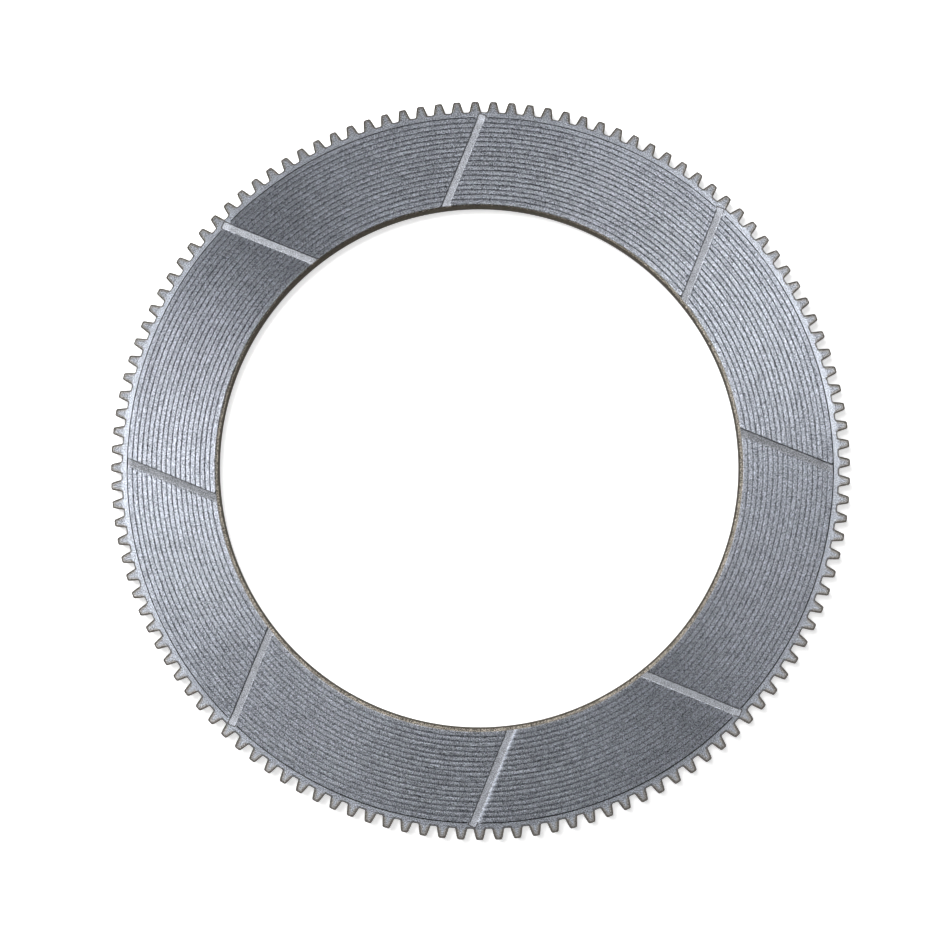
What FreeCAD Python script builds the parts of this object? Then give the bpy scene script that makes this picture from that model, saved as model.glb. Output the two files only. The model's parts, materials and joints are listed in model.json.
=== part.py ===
"""Clutch friction plate: a toothed steel core with a grooved friction facing bonded to each side.

All lengths are millimetres and all angles are degrees, except inside the tooth formulas, which
work in radians. The plate lies flat, with its axis on Z and the middle of its thickness at the
origin. One tooth stands on the +X axis.
"""
import FreeCAD, Part
import math
import os

# External spline teeth on the rim of the core
tooth_count = 124
tooth_module = 3.0
pressure_angle = 14.5
tooth_thickness = 5.1
tooth_addendum = 3.0
tooth_dedendum = 2.5
tip_corner = 0.6

# Steel core
core_thickness = 4.0
core_bore_diameter = 267.0

# Friction facings, bonded between the rim and the ledge round the bore
facing_thickness = 1.0
rim_width = 3.5
bore_ledge_width = 1.5

# Concentric V grooves in the upper facing, with a flat land left at each edge
ring_groove_pitch = 3.0
ring_groove_depth = 0.4
least_edge_land = 1.2

# Straight oil channels in both facings, two parallel pairs that cross at right angles
channel_width = 4.0
channel_floor = 0.3
channel_offset = 66.0
channel_turn = -22.5

# Sizes that follow from the ones above
pitch_radius = tooth_module * tooth_count / 2
base_radius = pitch_radius * math.cos(math.radians(pressure_angle))
tip_radius = pitch_radius + tooth_addendum
root_radius = pitch_radius - tooth_dedendum
bore_radius = core_bore_diameter / 2
facing_outer_radius = root_radius - rim_width
facing_inner_radius = bore_radius + bore_ledge_width
facing_base = core_thickness / 2
facing_top = facing_base + facing_thickness

CENTRE = FreeCAD.Vector(0, 0, 0)
AXIS = FreeCAD.Vector(0, 0, 1)


def involute(radius):
    """Involute function at a radius, in radians."""
    slope_angle = math.acos(min(1.0, base_radius / radius))
    return math.tan(slope_angle) - slope_angle


def half_tooth_angle(radius):
    """Half of the angle that a tooth fills at a radius, in radians."""
    half_at_pitch = tooth_thickness / (2 * pitch_radius)
    return half_at_pitch + involute(pitch_radius) - involute(radius)


def tooth_points(centre_angle):
    """Corners of one tooth, from root to root. Each flank is the chord of its involute."""
    flank_end = tip_radius - tip_corner
    side = [
        (root_radius, half_tooth_angle(root_radius)),
        (flank_end, half_tooth_angle(flank_end)),
        (tip_radius, half_tooth_angle(tip_radius) - tip_corner / tip_radius),
    ]
    corners = [(radius, centre_angle - half_angle) for radius, half_angle in side]
    corners += [(radius, centre_angle + half_angle) for radius, half_angle in reversed(side)]
    return [FreeCAD.Vector(r * math.cos(a), r * math.sin(a), -facing_base) for r, a in corners]


def core_plate():
    """Flat steel ring with spline teeth round its rim and a plain bore."""
    points = []
    for tooth in range(tooth_count):
        points += tooth_points(tooth * 2 * math.pi / tooth_count)
    outline = Part.makePolygon(points + points[:1])
    blank = Part.Face(outline).extrude(AXIS * core_thickness)
    bore = Part.makeCylinder(bore_radius, core_thickness, AXIS * -facing_base)
    return blank.cut(bore)


def ring_groove_points():
    """Radius and height points of a row of V grooves, centred on the facing's width."""
    facing_width = facing_outer_radius - facing_inner_radius
    count = int((facing_width - 2 * least_edge_land) / ring_groove_pitch)
    first_edge = (facing_inner_radius + facing_outer_radius - count * ring_groove_pitch) / 2
    points = [(first_edge, facing_top)]
    for number in range(count):
        groove_edge = first_edge + number * ring_groove_pitch
        points.append((groove_edge + ring_groove_pitch / 2, facing_top - ring_groove_depth))
        points.append((groove_edge + ring_groove_pitch, facing_top))
    return points


def channel_cutters():
    """Four straight bars that mill the oil channels across a facing on the core's upper face."""
    length = 2 * tip_radius
    cutters = []
    for side in (-1, 1):
        for square_turn in (0, 90):
            near_edge = side * channel_offset - channel_width / 2
            corner = FreeCAD.Vector(-length / 2, near_edge, facing_base + channel_floor)
            bar = Part.makeBox(length, channel_width, facing_thickness, corner)
            bar.rotate(CENTRE, AXIS, channel_turn + square_turn)
            cutters.append(bar)
    return cutters


def facing(groove_points):
    """Friction facing on the core's upper face, turned to a half section and then milled."""
    section = [(facing_inner_radius, facing_base), (facing_inner_radius, facing_top)]
    section += groove_points
    section += [(facing_outer_radius, facing_top), (facing_outer_radius, facing_base)]
    points = [FreeCAD.Vector(radius, 0, height) for radius, height in section]
    outline = Part.makePolygon(points + points[:1])
    turned = Part.Face(outline).revolve(CENTRE, AXIS, 360)
    return turned.cut(channel_cutters())


def save(name, shape):
    """Write one piece to its STEP file and print what it holds."""
    print(name, "solids", len(shape.Solids), "valid", shape.isValid(), "mm3", round(shape.Volume))
    shape.exportStep("parts/" + name + ".step")


os.makedirs("parts", exist_ok=True)
save("core_plate", core_plate())
save("upper_facing", facing(ring_groove_points()))
save("lower_facing", facing([]).mirror(CENTRE, AXIS))
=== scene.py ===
"""Clutch friction plate: a toothed steel core with a grooved sintered facing bonded to each side.

The plate lies flat with its axis on Z, and one tooth stands on the +X axis. Three operators make
the core, the two facings and the studio, from the sizes in the sidebar. All angles are radians and
all lengths are metres, except in the materials' patterns, which are in millimetres.
"""

import json
import math

import bmesh
import bpy
from mathutils import Matrix, Vector


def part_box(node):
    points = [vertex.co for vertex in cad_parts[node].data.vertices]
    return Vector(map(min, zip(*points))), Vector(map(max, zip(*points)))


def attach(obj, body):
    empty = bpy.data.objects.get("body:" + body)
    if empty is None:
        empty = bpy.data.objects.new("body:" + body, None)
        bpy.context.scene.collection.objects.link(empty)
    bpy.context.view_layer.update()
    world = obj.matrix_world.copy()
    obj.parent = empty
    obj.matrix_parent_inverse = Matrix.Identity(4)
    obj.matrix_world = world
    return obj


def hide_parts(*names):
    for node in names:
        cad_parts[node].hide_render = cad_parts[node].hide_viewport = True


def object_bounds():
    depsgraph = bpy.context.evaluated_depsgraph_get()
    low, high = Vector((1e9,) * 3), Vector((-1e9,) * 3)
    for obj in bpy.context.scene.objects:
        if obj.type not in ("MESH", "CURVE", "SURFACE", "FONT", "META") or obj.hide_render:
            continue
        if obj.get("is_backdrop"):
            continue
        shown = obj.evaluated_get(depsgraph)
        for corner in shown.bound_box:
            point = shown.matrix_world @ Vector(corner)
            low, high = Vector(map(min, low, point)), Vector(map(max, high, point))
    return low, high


bl_info = {
    "name": "Clutch Friction Plate",
    "version": (1, 0, 0),
    "blender": (4, 5, 0),
    "location": "View3D > Sidebar > Plate",
    "description": "Builds a toothed clutch friction plate and the studio that it lies in",
    "category": "Object",
}

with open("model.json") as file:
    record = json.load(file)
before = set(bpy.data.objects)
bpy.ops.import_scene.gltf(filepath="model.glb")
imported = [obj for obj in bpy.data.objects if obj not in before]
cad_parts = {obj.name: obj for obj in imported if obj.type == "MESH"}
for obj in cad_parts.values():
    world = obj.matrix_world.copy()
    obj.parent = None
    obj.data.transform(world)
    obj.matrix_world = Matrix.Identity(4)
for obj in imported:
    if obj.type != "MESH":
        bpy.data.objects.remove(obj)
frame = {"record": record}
cad_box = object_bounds()
core_low, core_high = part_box("core_plate")
facing_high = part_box("upper_facing")[1]
bore_mount = next(mount for mount in frame["record"]["mounts"] if mount["kind"] == "bore")

MM = 0.001
AXIS = (0.0, 0.0, 1.0)
CENTRE = (0.0, 0.0, 0.0)
UPSIDE_DOWN = (1, 1, -1)
SAME_PLACE = 1e-6

# Faces that meet at more than this angle are shaded apart
SHARP_ANGLE = math.radians(35)

# Least upright part of a face's normal, from 1 on a level face to 0 on a standing one
LEVEL = 0.9999
NEARLY_LEVEL = 0.99
SLOPING = 0.5

# Shares of a land's width and of its crown, from the mouth of a ring groove to the land's top
CROWN_REACH = 0.3
SHOULDER_REACH = 0.12
SHOULDER_DROP = 0.35

# Shares of a groove's half mouth and of its depth, where its wall bends
WALL_REACH = 0.55
WALL_DROP = 0.62

# Share of a rounding's radius between its middle and the lost corner, on each side
ROUND_MIDDLE = 0.3

# Shares of a rounding's radius, and of a run-out mark's half width, that a bevel takes off a corner
CORNER_REACH = 0.7
RUNOUT_CORNER = 0.55

# Plain band of the rim between the facing's edge and the sectors that carry the teeth
RIM_BAND = 1.2 * MM

# How far the joint's cutter reaches under the facing, and how far its outer wall leans
JOINT_OVERLAP = 0.1 * MM
JOINT_LEAN = 0.12 * MM

# How much narrower a run-out mark is than its channel on each side, and its gap from the facing
RUNOUT_INSET = 0.15 * MM
RUNOUT_GAP = 0.02 * MM

# Pits to the millimetre in the lining and the steel
PIT_SCALE = 0.62

# Every lamp's distance from the plate's centre and its angle from the axis
LAMP_DISTANCE = 1.5
LAMP_ZENITH = math.radians(42)

# Name, azimuth in degrees, side in metres and level of each lamp, and whether it is the key
LAMPS = (
    ("key_softbox", 130, 0.9, 0.85, True),
    ("left_sheen", 177, 0.75, 0.39, False),
    ("right_sheen", 26, 0.45, 0.215, False),
    ("rear_sheen", 51, 0.25, 0.1, False),
    ("side_sheen", 330, 0.25, 0.06, False),
    ("front_sheen", 229, 0.15, 0.05, False),
)


def length_property(name, description, default):
    """Length in a group of sizes."""
    return bpy.props.FloatProperty(name=name, description=description, default=default, unit="LENGTH")


def colour_property(name, description, default):
    """Colour in a group of sizes."""
    return bpy.props.FloatVectorProperty(name=name, description=description, default=default,
                                         subtype="COLOR", min=0, max=1)


class CoreSizes(bpy.types.PropertyGroup):
    """Sizes and colours of the toothed steel core"""

    tooth_count: bpy.props.IntProperty(
        name="Teeth", description="Number of spline teeth on the rim", default=124, min=12)
    tip_radius: length_property("Tip radius", "From the axis to the tooth tips", core_high.x)
    tooth_thickness: length_property(
        "Tooth thickness", "Width of a tooth at the pitch circle", 5.1 * MM)
    tooth_dedendum: length_property(
        "Tooth dedendum", "From the pitch circle down to the root of a tooth", 2.5 * MM)
    pressure_angle: bpy.props.FloatProperty(
        name="Pressure angle", description="Slope of the flanks at the pitch circle",
        default=math.radians(14.5), subtype="ANGLE")
    tip_round: length_property("Tip rounding", "Radius of the two corners of a tooth tip", 1.0 * MM)
    root_round: length_property("Root rounding", "Radius at the foot of each flank", 0.8 * MM)
    edge_break: length_property("Edge break", "Width of the worn edge round the teeth", 0.14 * MM)
    bore_break: length_property(
        "Bore edge break", "Width of the rounded upper edge of the bore", 0.25 * MM)
    ledge_fall: length_property(
        "Ledge fall", "How far the worn ledge falls towards the bore", 0.2 * MM)
    bore_lower_break: length_property(
        "Bore lower break", "Width of the broken lower edge of the bore", 0.12 * MM)
    outline_width: length_property(
        "Outline width", "Width of the tarnish along the outline of the teeth", 1.0 * MM)
    bore_radius: length_property(
        "Bore radius", "From the axis to the bore wall", bore_mount["dims"]["r_mm"] * MM)
    joint_width: length_property(
        "Joint width", "Width of the relief between the facing and the rim", 0.75 * MM)
    joint_depth: length_property(
        "Joint depth", "Depth of the relief between the facing and the rim", 0.5 * MM)
    runout_length: length_property(
        "Run-out length", "How far an oil channel's cutter ran into the rim", 1.4 * MM)
    runout_depth: length_property(
        "Run-out depth", "Depth of the cutter's mark in the rim", 0.2 * MM)
    steel_colour: colour_property("Steel", "Colour of the rim and the teeth", (0.53, 0.562, 0.63))
    ledge_colour: colour_property(
        "Ledge", "Tan colour of the bare ledge round the bore", (0.355, 0.32, 0.27))
    tarnish_colour: colour_property(
        "Tarnish", "Brown of the cut edges and the bore wall", (0.05, 0.04, 0.025))
    bond_colour: colour_property(
        "Bond line", "Near-black of the joint between the facing and the rim", (0.028, 0.028, 0.028))


class FacingSizes(bpy.types.PropertyGroup):
    """Sizes and colours of the two friction facings"""

    outer_radius: length_property(
        "Outer radius", "From the axis to the facing's outer edge", facing_high.x)
    inner_radius: length_property(
        "Inner radius", "From the axis to the facing's inner edge", 135 * MM)
    edge_round: length_property(
        "Edge rounding", "Radius of the facing's two round edges", 0.18 * MM)
    groove_pitch: length_property(
        "Groove pitch", "Distance from one ring groove to the next", 2.5 * MM)
    groove_width: length_property("Groove width", "Width of a ring groove at its mouth", 0.6 * MM)
    groove_depth: length_property("Groove depth", "Depth of a ring groove", 0.4 * MM)
    land_crown: length_property(
        "Land crown", "How far a land's shoulders lie below its middle", 0.07 * MM)
    channel_width: length_property("Channel width", "Width of a straight oil channel", 4.0 * MM)
    channel_floor: length_property("Channel floor", "Facing left under an oil channel", 0.3 * MM)
    channel_offset: length_property(
        "Channel offset", "From the axis to a channel's centre line", 66 * MM)
    channel_turn: bpy.props.FloatProperty(
        name="Channel turn", description="Direction of the first pair of channels",
        default=math.radians(-22.5), subtype="ANGLE")
    channel_round: length_property(
        "Channel rounding", "Radius along the foot of a channel's walls", 0.5 * MM)
    mouth_round: length_property(
        "Mouth rounding", "Radius of the facing's corners at a channel's ends", 1.0 * MM)
    lining_colour: colour_property("Lining", "Colour of the sintered lands", (0.413, 0.436, 0.493))
    milled_colour: colour_property("Milled", "Colour of the oil channels", (0.36, 0.375, 0.41))
    # Darkening of the ring grooves: grime and painted shade
    groove_darkening: bpy.props.FloatProperty(
        name="Groove darkening", description="How much darker the ring grooves are than the lands",
        default=0.56, subtype="FACTOR", min=0, max=1)


class StudioSizes(bpy.types.PropertyGroup):
    """Camera, floor and sky"""

    camera_place: bpy.props.FloatVectorProperty(
        name="Camera", description="Where the camera hangs over the plate",
        default=(0.010, -0.0262, 0.5), subtype="TRANSLATION")
    camera_aim: bpy.props.FloatVectorProperty(
        name="Aim", description="Point at the middle of the picture",
        default=(-0.0013, -0.005, 0.0), subtype="TRANSLATION")
    camera_turn: bpy.props.FloatProperty(
        name="Camera turn", description="How far the picture's upright leans from +Y to +X",
        default=math.radians(0.35), subtype="ANGLE")
    lens: bpy.props.FloatProperty(
        name="Lens", description="Focal length in millimetres", default=36.97)
    floor_size: length_property("Floor", "Side of the floor", 12.0)
    floor_gap: length_property(
        "Floor gap", "Hair's breadth between the plate and the floor", 0.02 * MM)
    floor_colour: colour_property("Floor colour", "White of the floor", (0.93, 0.93, 0.93))
    floor_glow: bpy.props.FloatProperty(
        name="Floor glow", description="Light added to the floor that the camera sees", default=0.65)
    far_glow: bpy.props.FloatProperty(
        name="Far glow", description="Light added to it far from the plate", default=0.35)
    sky_strength: bpy.props.FloatProperty(
        name="Sky", description="Strength of the even light from all round", default=0.15)


def polar(radius, angle, height=0.0):
    """Point at a radius and an angle round the axis."""
    return Vector((radius * math.cos(angle), radius * math.sin(angle), height))


def chain(mesh, points):
    """Vertices joined by edges into an open line."""
    verts = [mesh.verts.new(point) for point in points]
    edges = [mesh.edges.new(pair) for pair in zip(verts, verts[1:])]
    return verts + edges


def turn_round(mesh, geometry, steps):
    """Spin a line through a full turn about the plate's axis."""
    bmesh.ops.spin(mesh, geom=geometry, cent=CENTRE, axis=AXIS, angle=2 * math.pi,
                   steps=steps, use_merge=True)


def turned_ring(section, steps):
    """Closed ring turned from a half section, which is given as (radius, height) pairs."""
    mesh = bmesh.new()
    points = [Vector((radius, 0, height)) for radius, height in section]
    turn_round(mesh, chain(mesh, points + points[:1]), steps)
    bmesh.ops.remove_doubles(mesh, verts=mesh.verts[:], dist=SAME_PLACE)
    bmesh.ops.recalc_face_normals(mesh, faces=mesh.faces[:])
    return mesh


def thicken(mesh, height):
    """Turn a flat outline into a closed slab of that height."""
    highlight_stretch = bmesh.ops.extrude_face_region(mesh, geom=mesh.faces[:])["geom"]
    verts = [item for item in highlight_stretch if isinstance(item, bmesh.types.BMVert)]
    bmesh.ops.translate(mesh, verts=verts, vec=(0, 0, height))
    bmesh.ops.recalc_face_normals(mesh, faces=mesh.faces[:])


def round_off(mesh, corners, width, segments, affect="EDGES"):
    """Round edges off, or with VERTICES the corners of a flat outline."""
    bmesh.ops.bevel(mesh, geom=corners, offset=width, offset_type="OFFSET", segments=segments,
                    profile=0.5, material=-1, affect=affect, clamp_overlap=True)


def level_enough(face, least):
    """Whether a face looks up or down, by the upright part of its normal."""
    return abs(face.normal.z) > least


def mark_sharp_edges(mesh):
    """Smooth shading, broken where two faces meet at a sharp angle or only one of them lies level."""
    for face in mesh.faces:
        face.smooth = True
    for edge in mesh.edges:
        level = [level_enough(face, LEVEL) for face in edge.link_faces]
        edge.smooth = edge.calc_face_angle(0.0) < SHARP_ANGLE and (all(level) or not any(level))


def new_object(name, mesh, materials):
    """Object at the origin that takes over a bmesh as its mesh."""
    data = bpy.data.meshes.new(name)
    mesh.to_mesh(data)
    mesh.free()
    for material in materials:
        data.materials.append(material)
    piece = bpy.data.objects.new(name, data)
    bpy.context.scene.collection.objects.link(piece)
    return piece


def finish_number(materials, finish):
    """Number of a finish among a piece's materials."""
    return [material.name for material in materials].index(finish)


def cutter_object(name, mesh, materials, finish):
    """Cutter that leaves one of the piece's own finishes on what it cuts."""
    number = finish_number(materials, finish)
    for face in mesh.faces:
        face.material_index = number
    return new_object(name, mesh, materials)


def add_mirror_image(cutter):
    """Add to a cutter its mirror image below the plate."""
    mesh = bmesh.new()
    mesh.from_mesh(cutter.data)
    copy = bmesh.ops.duplicate(mesh, geom=mesh.verts[:] + mesh.edges[:] + mesh.faces[:])["geom"]
    verts = [item for item in copy if isinstance(item, bmesh.types.BMVert)]
    bmesh.ops.scale(mesh, vec=UPSIDE_DOWN, verts=verts)
    bmesh.ops.recalc_face_normals(mesh, faces=mesh.faces[:])
    mesh.to_mesh(cutter.data)
    mesh.free()
    return cutter


def cut_away(piece, cutter):
    """Take a closed cutter out of a piece, and remove the cutter."""
    cut = piece.modifiers.new("cut", "BOOLEAN")
    cut.operation = "DIFFERENCE"
    cut.solver = "MANIFOLD"
    cut.object = cutter
    graph = bpy.context.evaluated_depsgraph_get()
    finished = bpy.data.meshes.new_from_object(piece.evaluated_get(graph))
    piece.modifiers.clear()
    blank = piece.data
    name = blank.name
    piece.data = finished
    bpy.data.meshes.remove(blank)
    finished.name = name
    cutter_mesh = cutter.data
    bpy.data.objects.remove(cutter)
    bpy.data.meshes.remove(cutter_mesh)


def finish_mesh(piece):
    """Merge doubles, shade smooth and check that a cut piece is still closed."""
    mesh = bmesh.new()
    mesh.from_mesh(piece.data)
    bmesh.ops.remove_doubles(mesh, verts=mesh.verts[:], dist=SAME_PLACE)
    mark_sharp_edges(mesh)
    open_edges = sum(1 for edge in mesh.edges if len(edge.link_faces) != 2)
    mesh.to_mesh(piece.data)
    mesh.free()
    if open_edges:
        raise RuntimeError(f"{piece.name} has {open_edges} open edges")


def channel_directions(facing):
    """Direction and sideways unit vectors of the eight channels, each from the axis outwards."""
    for quarter in range(4):
        angle = facing.channel_turn + quarter * math.pi / 2
        along = Vector((math.cos(angle), math.sin(angle), 0))
        across = Vector((-math.sin(angle), math.cos(angle), 0))
        for side in (-1, 1):
            yield along, across * side


def in_channel(facing, along, across, distance, sideways, height):
    """Point at a distance along a channel and sideways from its centre line."""
    place = along * distance + across * (facing.channel_offset + sideways)
    place.z = height
    return place


def channel_face(mesh, facing, direction, outline, height):
    """Level face in a channel, from (distance along, sideways) pairs, given as its vertices."""
    verts = [mesh.verts.new(in_channel(facing, *direction, distance, sideways, height))
             for distance, sideways in outline]
    mesh.faces.new(verts)
    return verts


def runout_directions(facing):
    """The channels that run on into the rim: all but the two that end close to the X axis."""
    for along, across in channel_directions(facing):
        end = in_channel(facing, along, across, facing.outer_radius, 0, 0)
        if abs(end.y) > facing.channel_offset / 2:
            yield along, across


def corner_arc(facing, edge_radius, outward, side, steps=5):
    """Points of the rounded corner between a channel's wall and a round edge of the facing.

    They run from the wall to the edge, as (distance along, sideways) pairs. outward is 1 at the
    facing's outer edge and -1 at its inner edge, and side is the wall's side of the channel.
    """
    rounding = facing.mouth_round
    wall = side * facing.channel_width / 2
    centre_side = facing.channel_offset + wall + side * rounding
    centre_radius = edge_radius - outward * rounding
    centre_along = math.sqrt(centre_radius ** 2 - centre_side ** 2)
    to_edge = outward * Vector((centre_along, centre_side)).normalized()
    start = math.atan2(-side, 0)
    turn = math.atan2(to_edge.y, to_edge.x) - start
    turn = (turn + math.pi) % (2 * math.pi) - math.pi
    for step in range(steps + 1):
        angle = start + turn * step / steps
        yield (centre_along + rounding * math.cos(angle),
               centre_side + rounding * math.sin(angle) - facing.channel_offset)


def channel_outline(facing):
    """Outline of one oil channel's cutter, as (distance along, sideways) pairs."""
    clear = 2 * facing.mouth_round
    ends = []
    for side in (-1, 1):
        inner = list(corner_arc(facing, facing.inner_radius, -1, side))
        outer = list(corner_arc(facing, facing.outer_radius, 1, side))
        inner_end = (inner[-1][0] - clear, inner[-1][1])
        outer_end = (outer[-1][0] + clear, outer[-1][1])
        ends.append([inner_end] + inner[::-1] + outer + [outer_end])
    return ends[0] + ends[1][::-1]


def channel_cutter(facing, directions, floor, ceiling, materials):
    """Closed bars that mill the oil channels in some directions, with rounded feet."""
    mesh = bmesh.new()
    outline = channel_outline(facing)
    for direction in directions:
        channel_face(mesh, facing, direction, outline, floor)
    thicken(mesh, ceiling - floor)
    feet = [edge for edge in mesh.edges
            if all(abs(vert.co.z - floor) < SAME_PLACE for vert in edge.verts)]
    round_off(mesh, feet, facing.channel_round, segments=3)
    return cutter_object("channel_cutter", mesh, materials, "milled_lining")


def groove_row(facing):
    """Radius of the innermost ring groove, and how many fit on the facing's width."""
    count = round((facing.outer_radius - facing.inner_radius) / facing.groove_pitch) - 1
    return (facing.inner_radius + facing.outer_radius - (count - 1) * facing.groove_pitch) / 2, count


def groove_section(facing, top):
    """One rounded V groove and the shoulders beside it, as (distance from its middle, height)."""
    half_mouth = facing.groove_width / 2
    land = facing.groove_pitch - facing.groove_width
    one_side = [
        (half_mouth + land * CROWN_REACH, top),
        (half_mouth + land * SHOULDER_REACH, top - facing.land_crown * SHOULDER_DROP),
        (half_mouth, top - facing.land_crown),
        (half_mouth * WALL_REACH, top - facing.groove_depth * WALL_DROP),
    ]
    other_side = [(-distance, height) for distance, height in one_side]
    return other_side + [(0.0, top - facing.groove_depth)] + one_side[::-1]


def facing_section(facing, base, top):
    """Half section of a facing: crowned lands between the ring grooves, as (radius, height)."""
    inner = facing.inner_radius
    outer = facing.outer_radius
    rounding = facing.edge_round
    middle = rounding * ROUND_MIDDLE
    points = [(inner, base), (inner, top - rounding), (inner + middle, top - middle)]
    points.append((inner + rounding, top))
    first, count = groove_row(facing)
    for number in range(count):
        centre = first + number * facing.groove_pitch
        points += [(centre + distance, height) for distance, height in groove_section(facing, top)]
    points += [(outer - rounding, top), (outer - middle, top - middle)]
    return points + [(outer, top - rounding), (outer, base)]


def upper_facing(core, facing, materials):
    """The upper facing, spun from its half section and then milled."""
    base = core_high.z
    top = facing_high.z
    mesh = turned_ring(facing_section(facing, base, top), 2 * core.tooth_count)
    piece = new_object("grooved_facing_upper", mesh, materials)
    cut_away(piece, channel_cutter(facing, channel_directions(facing), base + facing.channel_floor,
                                   top + facing.channel_round, materials))
    finish_mesh(piece)
    return piece


def lower_facing(upper):
    """The lower facing, as the upper one's mirror image."""
    mesh = bmesh.new()
    mesh.from_mesh(upper.data)
    bmesh.ops.scale(mesh, vec=UPSIDE_DOWN, verts=mesh.verts[:])
    bmesh.ops.reverse_faces(mesh, faces=mesh.faces[:])
    return new_object("grooved_facing_lower", mesh, upper.data.materials[:])


class ToothForm:
    """Module and radii of the teeth, and the angle that a tooth fills."""

    def __init__(self, core):
        self.module = 2 * core.tip_radius / (core.tooth_count + 2)
        self.pitch_radius = core.tip_radius - self.module
        self.root_radius = self.pitch_radius - core.tooth_dedendum
        self.base_radius = self.pitch_radius * math.cos(core.pressure_angle)
        self.half_at_pitch = core.tooth_thickness / (2 * self.pitch_radius)

    def involute(self, radius):
        """Involute function at a radius."""
        slope = math.acos(self.base_radius / radius)
        return math.tan(slope) - slope

    def half_angle(self, radius):
        """Half of the angle that a tooth fills at a radius."""
        return self.half_at_pitch + self.involute(self.pitch_radius) - self.involute(radius)


def tooth_sector(mesh, core, foot_radius, height):
    """Flat face of one tooth with its share of the rim, with rounded tips and roots."""
    form = ToothForm(core)
    half_sector = math.pi / core.tooth_count
    third = form.module / 3
    flank = [form.root_radius, form.pitch_radius - third, form.pitch_radius + third, core.tip_radius]
    right = [(radius, -form.half_angle(radius)) for radius in flank]
    left = [(radius, -angle) for radius, angle in reversed(right)]
    start = [(foot_radius, -half_sector), (form.root_radius, -half_sector)]
    end = [(form.root_radius, half_sector), (foot_radius, half_sector), (foot_radius, 0)]
    verts = [mesh.verts.new(polar(radius, angle, height))
             for radius, angle in start + right + left + end]
    mesh.faces.new(verts)
    tooth = verts[len(start):-len(end)]
    roots = [tooth[0], tooth[-1]]
    tips = tooth[len(flank) - 1:len(flank) + 1]
    for corners, rounding in ((roots, core.root_round), (tips, core.tip_round)):
        round_off(mesh, corners, rounding * CORNER_REACH, segments=3, affect="VERTICES")


def joint_cutter(core, facing, materials):
    """Ring that cuts the dark relief round a facing, with gaps where channels run into the rim."""
    start = facing.outer_radius - JOINT_OVERLAP
    end = facing.outer_radius + core.joint_width
    floor = core_high.z - core.joint_depth
    ceiling = core_high.z + core.joint_depth
    section = [(start, ceiling), (start, floor), (end - JOINT_LEAN, floor), (end, core_high.z),
               (end, ceiling)]
    mesh = turned_ring(section, 4 * core.tooth_count)
    ring = cutter_object("joint_cutter", mesh, materials, "bond_line")
    cut_away(ring, channel_cutter(facing, runout_directions(facing), floor - facing.channel_round,
                                  ceiling + facing.channel_round, materials))
    return ring


def runout_cutter(core, facing, materials):
    """Short rounded bars that mark where a channel's cutter ran into the rim."""
    mesh = bmesh.new()
    half_width = facing.channel_width / 2 - RUNOUT_INSET
    start_radius = facing.outer_radius + RUNOUT_GAP
    starts = [math.sqrt(start_radius ** 2 - (facing.channel_offset + side * half_width) ** 2)
              for side in (-1, 1)]
    end = max(starts) + core.runout_length
    outline = [(starts[0], -half_width), (end, -half_width), (end, half_width), (starts[1], half_width)]
    for direction in runout_directions(facing):
        verts = channel_face(mesh, facing, direction, outline, core_high.z - core.runout_depth)
        round_off(mesh, verts[1:3], half_width * RUNOUT_CORNER, segments=4, affect="VERTICES")
    thicken(mesh, 2 * core.runout_depth)
    return cutter_object("runout_cutter", mesh, materials, "milled_lining")


def core_blank(core, facing, rim_radius):
    """Slab of the toothed core, with a ledge that falls towards the bore."""
    mesh = bmesh.new()
    tooth_sector(mesh, core, rim_radius, core_low.z)
    sector = mesh.verts[:] + mesh.edges[:] + mesh.faces[:]
    steps = core.tooth_count - 1
    bmesh.ops.spin(mesh, geom=sector, cent=CENTRE, axis=AXIS, steps=steps,
                   angle=2 * math.pi * steps / core.tooth_count, use_duplicate=True)
    radii = (core.bore_radius, facing.inner_radius, rim_radius)
    band = [polar(radius, 0, core_low.z) for radius in radii]
    turn_round(mesh, chain(mesh, band), 2 * core.tooth_count)
    bmesh.ops.remove_doubles(mesh, verts=mesh.verts[:], dist=SAME_PLACE)
    thicken(mesh, core_high.z - core_low.z)
    upper_bore_edge = [vert for vert in mesh.verts
                       if vert.co.z > 0 and vert.co.xy.length < core.bore_radius + SAME_PLACE]
    bmesh.ops.translate(mesh, verts=upper_bore_edge, vec=(0, 0, -core.ledge_fall))
    return mesh


def break_edges(mesh, core, rim_radius):
    """Round the edges of the bore, and the worn edges of the teeth."""
    corners = [edge for edge in mesh.edges
               if len({level_enough(face, SLOPING) for face in edge.link_faces}) == 2]
    at_bore = [edge for edge in corners if edge.verts[0].co.xy.length < rim_radius]
    at_teeth = [edge for edge in corners if edge.verts[0].co.xy.length > rim_radius]
    upper = [edge for edge in at_bore if edge.verts[0].co.z > 0]
    lower = [edge for edge in at_bore if edge.verts[0].co.z < 0]
    round_off(mesh, upper, core.bore_break, segments=2)
    round_off(mesh, lower, core.bore_lower_break, segments=1)
    round_off(mesh, at_teeth, core.edge_break, segments=2)


def toothed_core(core, facing, materials):
    """The steel core with its teeth, worn edges, joint relief and run-out marks."""
    rim_radius = facing.outer_radius + RIM_BAND
    mesh = core_blank(core, facing, rim_radius)
    break_edges(mesh, core, rim_radius)
    ground = finish_number(materials, "ground_steel")
    tarnished = finish_number(materials, "tarnished_edge")
    for face in mesh.faces:
        on_ledge = face.calc_center_median().xy.length < rim_radius and level_enough(face, SLOPING)
        face.material_index = ground if on_ledge or level_enough(face, NEARLY_LEVEL) else tarnished
    piece = new_object("toothed_core", mesh, materials)
    for cutter in (joint_cutter, runout_cutter):
        cut_away(piece, add_mirror_image(cutter(core, facing, materials)))
    finish_mesh(piece)
    return piece


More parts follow.
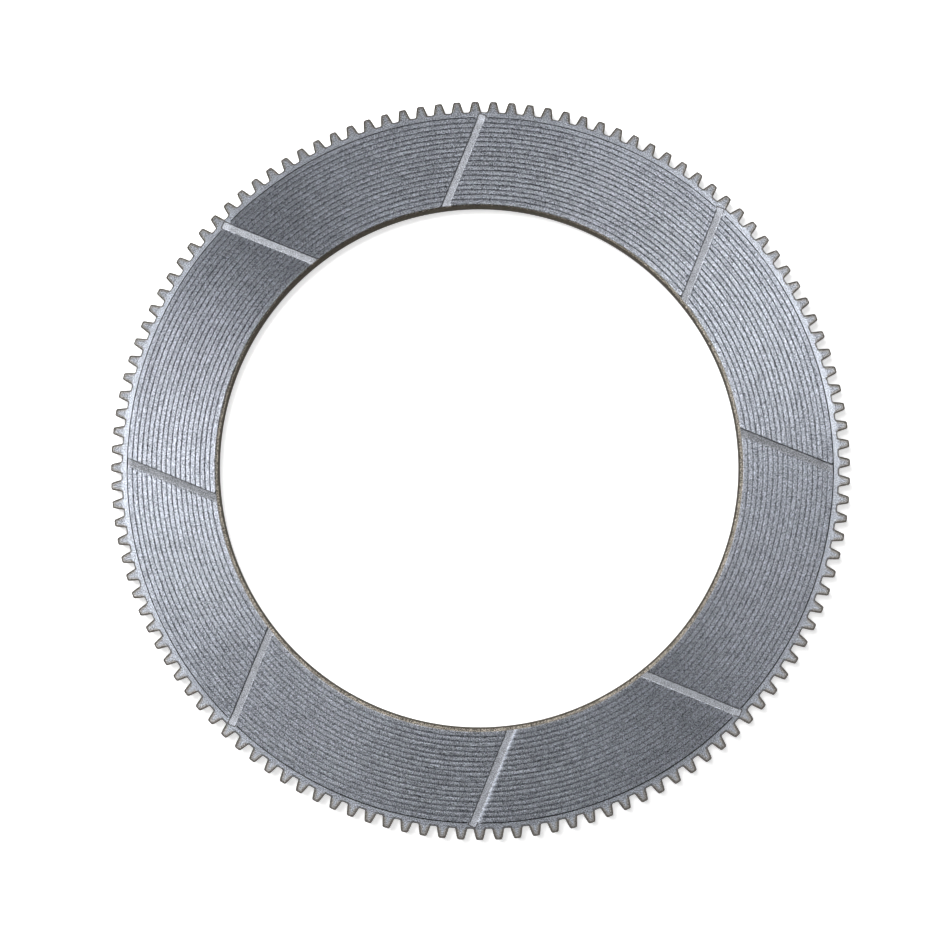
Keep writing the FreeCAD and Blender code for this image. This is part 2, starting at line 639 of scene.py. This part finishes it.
class Field:
    """A number that varies over a surface: a shader socket that takes part in sums."""

    def __init__(self, graph, socket):
        self.graph = graph
        self.socket = socket

    def __add__(self, other):
        return self.graph.maths("ADD", self, other)

    def __radd__(self, other):
        return self.graph.maths("ADD", other, self)

    def __sub__(self, other):
        return self.graph.maths("SUBTRACT", self, other)

    def __rsub__(self, other):
        return self.graph.maths("SUBTRACT", other, self)

    def __mul__(self, other):
        return self.graph.maths("MULTIPLY", self, other)

    def __rmul__(self, other):
        return self.graph.maths("MULTIPLY", other, self)

    def __truediv__(self, other):
        return self.graph.maths("DIVIDE", self, other)

    def __neg__(self):
        return self.graph.maths("SUBTRACT", 0.0, self)

    def __abs__(self):
        return self.graph.maths("ABSOLUTE", self, 0.0)


class Graph:
    """The nodes of one material or of the world."""

    def __init__(self, owner):
        owner.use_nodes = True
        self.tree = owner.node_tree
        self.tree.nodes.clear()

    def node(self, kind, settings=None, inputs=None):
        """Add a node, set its settings, and then give its sockets values or links."""
        made = self.tree.nodes.new(kind)
        for name, value in (settings or {}).items():
            setattr(made, name, value)
        for key, value in (inputs or {}).items():
            socket = made.inputs[key]
            if isinstance(value, Field):
                value = value.socket
            if isinstance(value, bpy.types.NodeSocket):
                self.tree.links.new(value, socket)
            else:
                socket.default_value = value
        return made

    def field(self, kind, output, settings=None, inputs=None):
        """One output of a new node, as a field."""
        return Field(self, self.node(kind, settings, inputs).outputs[output])

    def maths(self, operation, *values):
        """Result of a Math node."""
        return self.field("ShaderNodeMath", 0, {"operation": operation}, dict(enumerate(values)))

    def larger(self, first, second):
        """The larger of two numbers."""
        return self.maths("MAXIMUM", first, second)

    def step(self, value, low, high):
        """Smooth step from 0 at low to 1 at high."""
        return self.field("ShaderNodeMapRange", 0, {"interpolation_type": "SMOOTHSTEP"},
                          {"Value": value, "From Min": low, "From Max": high})

    def fall(self, value, low, high):
        """Smooth fall from 1 at low to 0 at high."""
        return 1.0 - self.step(value, low, high)

    def mix(self, share, first, second, blend_type="MIX"):
        """Mix of two colours, which a Mix node takes at its inputs 6 and 7."""
        return self.field("ShaderNodeMix", 2, {"data_type": "RGBA", "blend_type": blend_type},
                          {0: share, 6: first, 7: second})

    def shade(self, colour, factor):
        """Colour made lighter or darker by a number."""
        grey = self.field("ShaderNodeCombineColor", 0, {}, {0: factor, 1: factor, 2: factor})
        return self.mix(1.0, colour, grey, "MULTIPLY")

    def noise(self, vector, scale, detail=2.0, roughness=0.6):
        """Noise around 0, on a vector in millimetres."""
        inputs = {"Vector": vector, "Scale": scale, "Detail": detail, "Roughness": roughness}
        return self.field("ShaderNodeTexNoise", "Fac", {}, inputs) - 0.5

    def grains(self, vector, scale):
        """Distance in millimetres from the nearest of many scattered points."""
        inputs = {"Vector": vector, "Scale": scale}
        return self.field("ShaderNodeTexVoronoi", "Distance", {}, inputs) / scale

    def rays(self, *kinds):
        """For each of these kinds of light ray, 1 where the surface meets such a ray."""
        outputs = self.node("ShaderNodeLightPath").outputs
        return [Field(self, outputs[f"Is {kind} Ray"]) for kind in kinds]

    def surface(self, **sockets):
        """Principled surface; the names of its sockets are given with _ for a space."""
        inputs = {name.replace("_", " "): value for name, value in sockets.items()}
        shader = self.node("ShaderNodeBsdfPrincipled", {}, inputs)
        self.node("ShaderNodeOutputMaterial", {}, {"Surface": shader.outputs[0]})


class Place:
    """Where a point lies on the plate, in millimetres from the axis."""

    def __init__(self, graph):
        self.graph = graph
        coordinates = graph.node("ShaderNodeTexCoord").outputs["Object"]
        self.vector = graph.field("ShaderNodeVectorMath", 0, {"operation": "SCALE"},
                                  {0: coordinates, "Scale": 1 / MM})
        parts = graph.node("ShaderNodeSeparateXYZ", {}, {0: self.vector})
        self.x, self.y = (Field(graph, output) for output in parts.outputs[:2])
        self.radius = graph.maths("SQRT", self.x * self.x + self.y * self.y)
        self.ring = graph.field("ShaderNodeCombineXYZ", 0, {},
                                {0: self.radius, 1: self.x / self.radius, 2: self.y / self.radius})

    def stretched(self, across, around):
        """Ring coordinates with their own scales across and around the plate."""
        return self.graph.field("ShaderNodeVectorMath", 0, {"operation": "MULTIPLY"},
                                {0: self.ring, 1: (across, around, around)})

    def towards(self, x_share, y_share):
        """How far the point lies in a direction on the plate."""
        return self.x * x_share + self.y * y_share


def begin_material(name):
    """New material, with its graph and the place on the plate."""
    material = bpy.data.materials.new(name)
    graph = Graph(material)
    return material, graph, Place(graph)


def bumped(graph, *heights):
    """Normal of a surface roughened by several (height, size in metres) pairs."""
    normal = None
    for height, distance in heights:
        inputs = {"Height": height, "Distance": distance, "Strength": 1.0}
        if normal is not None:
            inputs["Normal"] = normal
        normal = graph.field("ShaderNodeBump", 0, {}, inputs)
    return normal


def opaque(colour):
    """Colour property as the four numbers that a socket holds."""
    return tuple(colour) + (1.0,)


def turning_marks(graph, place):
    """Fine marks that a lathe or a drum leaves round the plate."""
    return graph.noise(place.stretched(5.0, 26.0), scale=1.0, detail=3.0, roughness=0.65)


def across_channel(graph, place, facing):
    """Millimetres from the nearest oil channel's centre line towards its upper left side.

    The second number is 1 where that channel belongs to the steeper pair, and the third is the
    distance along the channel from the point of its line that lies nearest to the axis.
    """
    cosine, sine = math.cos(facing.channel_turn), math.sin(facing.channel_turn)
    offset = facing.channel_offset / MM
    first = place.y * cosine - place.x * sine
    second = place.x * cosine + place.y * sine
    from_first = first - graph.maths("SIGN", first) * offset
    from_second = graph.maths("SIGN", second) * offset - second
    on_first = graph.maths("LESS_THAN", abs(from_first), abs(from_second))
    sideways = on_first * from_first + (1.0 - on_first) * from_second
    along = on_first * abs(second) + (1.0 - on_first) * abs(first)
    return sideways, 1.0 - on_first, along


def ring_grooves(graph, place, facing, unevenness):
    """1 in the ring grooves, whose edges waver by an unevenness in millimetres."""
    pitch = facing.groove_pitch / MM
    first, count = groove_row(facing)
    row_start = first / MM - pitch / 2
    row_end = row_start + pitch * count
    on_row = graph.step(place.radius, row_start, row_start + 0.1)
    on_row = on_row * graph.fall(place.radius, row_end - 0.1, row_end)
    off_groove = abs(graph.maths("WRAP", place.radius - first / MM, pitch / 2, -pitch / 2))
    return on_row * graph.fall(off_groove + unevenness, 0.14, 0.38)


def lining_material(facing):
    """Sintered lining: grainy bluish grey lands turned in rings, pits, and grimy grooves with painted
    shade.
    """
    material, graph, place = begin_material("sintered_lining")
    grain = graph.noise(place.vector, scale=2.2)
    patches = graph.noise(place.vector, scale=0.25)
    waver = graph.noise(place.vector, scale=0.8, detail=1.0)
    streaks = graph.noise(place.stretched(1.3, 18.0), scale=1.0)
    turning = turning_marks(graph, place)

    # Broken dark lines in the ring grooves, grime and painted shade, less dark towards the bottom; and
    # pits
    groove = ring_grooves(graph, place, facing, waver * 0.9 + grain * 0.9)
    breaks = graph.step(graph.noise(place.vector, scale=0.35, detail=1.0), -0.17, 0.0)
    recess_shade = facing.groove_darkening - graph.step(-place.y / place.radius, 0.5, 0.9) * 0.14
    pits = graph.fall(graph.grains(place.vector, PIT_SCALE) + waver * 0.5 - groove * 0.12, 0.14, 0.26)
    dark = graph.larger(groove * (0.45 + breaks * 0.6) * recess_shade, pits * 0.85)

    # Beside a channel's lower right wall: a thin dark line, or on one stretch a bright painted
    # highlight
    off_channel, steep, _ = across_channel(graph, place, facing)
    side = off_channel / (facing.channel_width / 2 / MM)
    beside = graph.step(-side, 0.97, 1.0)
    rim_line = beside * graph.fall(grain * 1.4 - side, 1.12, 1.26) * 0.4
    highlight_stretch = steep * graph.step(place.towards(0.5, -1.0), 90.0, 130.0)
    painted_highlight = beside * highlight_stretch * graph.fall(grain * 4.0 - side, 1.24, 1.36)
    dark = graph.larger(dark, rim_line * (1.0 - highlight_stretch))

    inner = facing.inner_radius / MM
    # Bright specks along the facing's inner edge: painted glints
    inner_edge_glints = graph.fall(place.radius + grain * 1.5, inner + 0.2, inner + 0.6)
    # Painted shade: the lands darker towards the top and the bottom
    painted_shade = graph.step(abs(place.y / place.radius), 0.9, 1.0) * 0.19
    brightness = 1.0 + grain * 4.6 + patches * 0.15 + streaks * 0.6 - painted_shade
    brightness = graph.larger(brightness, 0.2) * (1.0 - dark)
    brightness = brightness + inner_edge_glints * graph.larger(grain * 11.0, 0.0) + painted_highlight * 1.6
    normal = bumped(graph, (turning, 0.2 * MM), (grain, 0.05 * MM), (1.0 - dark, 0.06 * MM))
    graph.surface(Base_Color=graph.shade(opaque(facing.lining_colour), brightness),
                  Metallic=(0.9 - dark * 0.9) * (1.0 - painted_highlight * 0.8),
                  Roughness=0.3 + dark * 0.3, Normal=normal)
    return material


def milled_material(facing):
    """Oil channels: painted shadow under the upper left wall, and a painted highlight along the other.
    """
    material, graph, place = begin_material("milled_lining")
    grain = graph.noise(place.vector, scale=2.2)
    patches = graph.noise(place.vector, scale=0.3)
    waver = graph.noise(place.vector, scale=0.8, detail=1.0)
    side = across_channel(graph, place, facing)[0] / (facing.channel_width / 2 / MM)
    outer = facing.outer_radius / MM
    runout = graph.step(place.radius, outer - 4.0, outer)
    # Painted shadow under the upper left wall of each channel
    recess_shade = graph.step(side + waver * 0.35, 0.6, 0.85) * graph.step(outer - place.radius, -0.1, 0.1)
    # Painted highlight along the lower right side of each channel
    edge = graph.step(waver * 0.6 - side, 0.7, 0.92)
    # Painted shade: the floors darker near the X axis
    painted_shade = graph.fall(abs(place.y), 20.0, 70.0)
    brightness = 1.15 + grain * 5.5 + patches * 0.8 + edge * (0.45 + grain * 3.5) + runout * 0.45
    brightness = graph.larger(brightness - painted_shade * 0.45, 0.2) * (1.0 - recess_shade * 0.75)
    graph.surface(Base_Color=graph.shade(opaque(facing.milled_colour), brightness), Metallic=0.1,
                  Roughness=0.5, Normal=bumped(graph, (grain, 0.12 * MM)))
    return material


def inside_outline(graph, place, core):
    """Millimetres from a point on the rim or a tooth to the outline of the teeth."""
    form = ToothForm(core)
    root, tip = form.root_radius / MM, core.tip_radius / MM
    at_root, at_tip = (radius * form.half_angle(radius * MM) for radius in (root, tip))
    turn = graph.maths("ARCTAN2", place.y, place.x)
    half_sector = math.pi / core.tooth_count
    off_tooth = abs(graph.maths("WRAP", turn, half_sector, -half_sector)) * place.radius
    half_width = at_root + (place.radius - root) * ((at_tip - at_root) / (tip - root))
    to_flank = (half_width - off_tooth) * math.cos(core.pressure_angle)
    in_tooth = graph.maths("SMOOTH_MIN", to_flank, tip - place.radius, core.tip_round / MM)
    return graph.maths("SMOOTH_MAX", in_tooth, root - place.radius, core.root_round / MM)


def runout_line(graph, place, core, facing):
    """1 along the dark line round the end of each oil channel in the rim."""
    half_width = (facing.channel_width / 2 - RUNOUT_INSET) / MM
    sideways, _, along = across_channel(graph, place, facing)
    outer = facing.outer_radius / MM
    nearer_side = facing.channel_offset / MM - half_width
    end = math.sqrt(outer ** 2 - nearer_side ** 2) + core.runout_length / MM
    outside = graph.maths("SMOOTH_MAX", abs(sideways) - half_width, along - end, 1.0)
    on_rim = graph.step(place.radius, outer, outer + 0.1) * graph.step(abs(place.y), 20.0, 40.0)
    return on_rim * graph.step(outside, -0.15, 0.05) * graph.fall(outside, 0.3, 0.6)


def steel_material(core, facing):
    """Rim, teeth and ledge: ground steel; tarnish and painted shade along the teeth's outline and the
    bore.
    """
    material, graph, place = begin_material("ground_steel")
    grain = graph.noise(place.vector, scale=2.0)
    patches = graph.noise(place.vector, scale=0.25)
    turning = turning_marks(graph, place)
    root = ToothForm(core).root_radius / MM
    bore = core.bore_radius / MM
    inner = facing.inner_radius / MM
    on_teeth = graph.step(place.radius, root - 0.4, root + 0.8)
    on_ledge = graph.fall(place.radius, inner, inner + 0.3)
    on_rim = 1.0 - graph.larger(on_teeth, on_ledge)

    # Slow changes over the plate, as the photo shows them
    # Lower side, away from the light: teeth painted lighter, and the outline's painted shade wider and
    # paler
    shaded = graph.step(place.towards(0.26, -0.97), -60.0, 180.0)
    # Painted shade towards the top: the ledge darker and the dark line at the bore wider
    darker = graph.step(place.towards(-0.2, 0.98), 40.0, 130.0)
    # Painted shade at the top and the bottom of the rim, and a painted sheen on its right side
    painted_shade = graph.step(place.y, 120.0, 185.0) * 0.3 + graph.step(-place.y, 160.0, 185.0) * 0.15
    painted_sheen = graph.step(place.x, 165.0, 185.0) * 0.45
    specks = graph.fall(graph.grains(place.vector, PIT_SCALE) + grain * 0.4, 0.12, 0.24)
    brightness = 1.0 + grain * (4.4 + on_ledge * 5.0) + patches * (0.5 + on_ledge) - specks * 0.5
    brightness = brightness - on_teeth * (0.38 - shaded * 0.5) + on_ledge * (0.02 - darker * 0.3)
    brightness = brightness + on_rim * (painted_sheen - painted_shade - 0.07)

    # Tarnish and painted shade along the teeth's outline and the bore; tarnish round the run-out marks
    to_edge = inside_outline(graph, place, core) / (core.outline_width / MM) - shaded * 0.35
    outline = graph.fall(to_edge + graph.noise(place.vector, scale=0.9), 0.38, 0.85)
    halo = graph.fall(to_edge, 0.8, 2.2)
    bore_line = graph.fall(place.radius + grain * 1.2 - darker * 0.9, bore + 0.05, bore + 0.5)
    tarnish_and_shade = graph.larger(outline * (0.92 - shaded * 0.22), bore_line * 0.95)
    tarnish_and_shade = graph.larger(tarnish_and_shade, runout_line(graph, place, core, facing) * 0.85)

    tanned = graph.larger(on_ledge, halo * on_teeth * 0.7)
    tint = graph.mix(tanned, opaque(core.steel_colour), opaque(core.ledge_colour))
    clean = graph.shade(tint, graph.larger(brightness, 0.15))
    metal = 1.0 - on_rim * 0.4 - on_teeth * 0.4 - on_ledge * 0.8
    graph.surface(Base_Color=graph.mix(tarnish_and_shade, clean, opaque(core.tarnish_colour)),
                  Metallic=metal * (1.0 - tarnish_and_shade * 0.5),
                  Roughness=0.32 + on_teeth * 0.14 + tarnish_and_shade * 0.15,
                  Normal=bumped(graph, (turning * on_rim, 0.15 * MM), (grain, 0.06 * MM)))
    return material


def tarnish_material(core):
    """Cut edges and the bore wall: dark brown, a little uneven."""
    material, graph, place = begin_material("tarnished_edge")
    grain = graph.noise(place.vector, scale=1.6)
    brightness = graph.larger(1.0 + grain * 2.5, 0.2)
    graph.surface(Base_Color=graph.shade(opaque(core.tarnish_colour), brightness), Metallic=0.3,
                  Roughness=0.6, Specular_IOR_Level=0.2, Normal=bumped(graph, (grain, 0.08 * MM)))
    return material


def bond_material(core):
    """Joint between a facing and the rim: near-black, matt."""
    material, graph, place = begin_material("bond_line")
    brightness = graph.larger(1.0 + graph.noise(place.vector, scale=1.2) * 4.0, 0.2)
    graph.surface(Base_Color=graph.shade(opaque(core.bond_colour), brightness), Roughness=0.8)
    return material


def floor_material(studio):
    """White floor that shows the plate's shadow and is full white to the camera, far off too."""
    material, graph, place = begin_material("white_floor")
    camera, glossy, transmission = graph.rays("Camera", "Glossy", "Transmission")
    far_off = graph.step(place.radius * MM, core_high.x * 1.5, core_high.x * 5)
    strength = (camera + glossy + transmission) * (studio.floor_glow + far_off * studio.far_glow)
    matt = graph.node("ShaderNodeBsdfDiffuse", {}, {"Color": opaque(studio.floor_colour)})
    glow = graph.node("ShaderNodeEmission", {}, {"Strength": strength})
    both = graph.node("ShaderNodeAddShader", {}, {0: matt.outputs[0], 1: glow.outputs[0]})
    graph.node("ShaderNodeOutputMaterial", {}, {"Surface": both.outputs[0]})
    return material


def finishes(context, *names):
    """The materials with these names, each made once and then shared."""
    core = context.scene.plate_core
    facing = context.scene.plate_facing
    makers = {
        "ground_steel": lambda: steel_material(core, facing),
        "tarnished_edge": lambda: tarnish_material(core),
        "bond_line": lambda: bond_material(core),
        "sintered_lining": lambda: lining_material(facing),
        "milled_lining": lambda: milled_material(facing),
    }
    return [bpy.data.materials.get(name) or makers[name]() for name in names]


def floor_sheet(studio):
    """White sheet a hair's breadth under the plate."""
    mesh = bmesh.new()
    bmesh.ops.create_grid(mesh, x_segments=1, y_segments=1, size=studio.floor_size / 2)
    bmesh.ops.translate(mesh, verts=mesh.verts[:], vec=(0, 0, cad_box[0].z - studio.floor_gap))
    return new_object("floor", mesh, [floor_material(studio)])


def look_along(item, place, aim, upward):
    """Put a camera or lamp at a place, facing its aim, with its upper side towards a direction."""
    back = (place - aim).normalized()
    right = upward.cross(back).normalized()
    item.location = place
    item.rotation_euler = Matrix((right, back.cross(right), back)).transposed().to_euler()


def add_lamp(name, azimuth, size, level, key):
    """Square softbox that faces the plate, and lights white to that level there.

    The key lamp lights matt surfaces and throws the shadows; the others show as sheen on metal.
    """
    data = bpy.data.lights.new(name, "AREA")
    data.size = size
    data.energy = level * (math.pi * LAMP_DISTANCE) ** 2 / math.cos(LAMP_ZENITH)
    lamp = bpy.data.objects.new(name, data)
    away = polar(math.sin(LAMP_ZENITH), azimuth, math.cos(LAMP_ZENITH))
    look_along(lamp, away * LAMP_DISTANCE, Vector(), Vector(AXIS))
    lamp.visible_glossy = not key
    lamp.visible_diffuse = key
    bpy.context.scene.collection.objects.link(lamp)


def white_sky(studio):
    """White to the camera and, near the horizon, in reflections; a weak light on matt surfaces."""
    world = bpy.data.worlds.new("sky")
    graph = Graph(world)
    direction = graph.node("ShaderNodeTexCoord").outputs["Generated"]
    upward = graph.field("ShaderNodeSeparateXYZ", 2, {}, {0: direction})
    horizon = graph.fall(upward, 0.05, 0.3)
    camera, transmission, glossy, diffuse = graph.rays("Camera", "Transmission", "Glossy", "Diffuse")
    strength = camera + transmission + glossy * horizon + diffuse * studio.sky_strength
    sky = graph.node("ShaderNodeBackground", {}, {"Color": (1, 1, 1, 1), "Strength": strength})
    graph.node("ShaderNodeOutputWorld", {}, {"Surface": sky.outputs[0]})
    return world


def overhead_camera(studio):
    """Camera that hangs over the plate."""
    data = bpy.data.cameras.new("camera")
    data.lens = studio.lens
    data.sensor_width = 36
    data.clip_start = 0.01
    camera = bpy.data.objects.new("camera", data)
    upright = Vector((math.sin(studio.camera_turn), math.cos(studio.camera_turn), 0))
    look_along(camera, Vector(studio.camera_place), Vector(studio.camera_aim), upright)
    bpy.context.scene.collection.objects.link(camera)
    return camera


class PLATE_OT_core(bpy.types.Operator):
    """Make the toothed steel core"""

    bl_idname = "plate.toothed_core"
    bl_label = "Toothed core"

    def execute(self, context):
        materials = finishes(context, "ground_steel", "tarnished_edge", "bond_line", "milled_lining")
        piece = toothed_core(context.scene.plate_core, context.scene.plate_facing, materials)
        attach(piece, "root")
        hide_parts("core_plate")
        return {"FINISHED"}


class PLATE_OT_facings(bpy.types.Operator):
    """Make the upper facing, and the lower one as its mirror image"""

    bl_idname = "plate.facings"
    bl_label = "Grooved facings"

    def execute(self, context):
        materials = finishes(context, "sintered_lining", "milled_lining")
        upper = upper_facing(context.scene.plate_core, context.scene.plate_facing, materials)
        lower = lower_facing(upper)
        for piece, node in ((upper, "upper_facing"), (lower, "lower_facing")):
            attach(piece, "root")
            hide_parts(node)
        return {"FINISHED"}


class PLATE_OT_studio(bpy.types.Operator):
    """Make the floor, the lamps, the sky and the camera"""

    bl_idname = "plate.studio"
    bl_label = "Studio"

    def execute(self, context):
        studio = context.scene.plate_studio
        floor = floor_sheet(studio)
        floor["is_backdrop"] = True
        for name, azimuth, size, level, key in LAMPS:
            add_lamp(name, math.radians(azimuth), size, level, key)
        context.scene.world = white_sky(studio)
        context.scene.camera = overhead_camera(studio)
        context.scene.view_settings.view_transform = "Standard"
        return {"FINISHED"}


class PLATE_PT_panel(bpy.types.Panel):
    """Sizes, colours and buttons of the plate"""

    bl_label = "Clutch friction plate"
    bl_space_type = "VIEW_3D"
    bl_region_type = "UI"
    bl_category = "Plate"

    def draw(self, context):
        groups = {"plate_core": PLATE_OT_core, "plate_facing": PLATE_OT_facings,
                  "plate_studio": PLATE_OT_studio}
        for group, operator in groups.items():
            box = self.layout.box()
            box.operator(operator.bl_idname)
            sizes = getattr(context.scene, group)
            for name in sizes.__annotations__:
                box.prop(sizes, name)


CLASSES = (CoreSizes, FacingSizes, StudioSizes, PLATE_OT_core, PLATE_OT_facings, PLATE_OT_studio,
           PLATE_PT_panel)


def register():
    """Add the classes and the three groups of sizes to Blender."""
    for each in CLASSES:
        bpy.utils.register_class(each)
    bpy.types.Scene.plate_core = bpy.props.PointerProperty(type=CoreSizes)
    bpy.types.Scene.plate_facing = bpy.props.PointerProperty(type=FacingSizes)
    bpy.types.Scene.plate_studio = bpy.props.PointerProperty(type=StudioSizes)


def unregister():
    """Take them out again."""
    del bpy.types.Scene.plate_studio
    del bpy.types.Scene.plate_facing
    del bpy.types.Scene.plate_core
    for each in reversed(CLASSES):
        bpy.utils.unregister_class(each)


def main():
    """Make the whole plate and its studio, and work out how large it came out."""
    register()
    bpy.ops.plate.toothed_core()
    bpy.ops.plate.facings()
    bpy.ops.plate.studio()
    boxes = {"cad": cad_box, "visual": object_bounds()}
    {name: [list(corner) for corner in box] for name, box in boxes.items()}


if __name__ == "__main__":
    main()
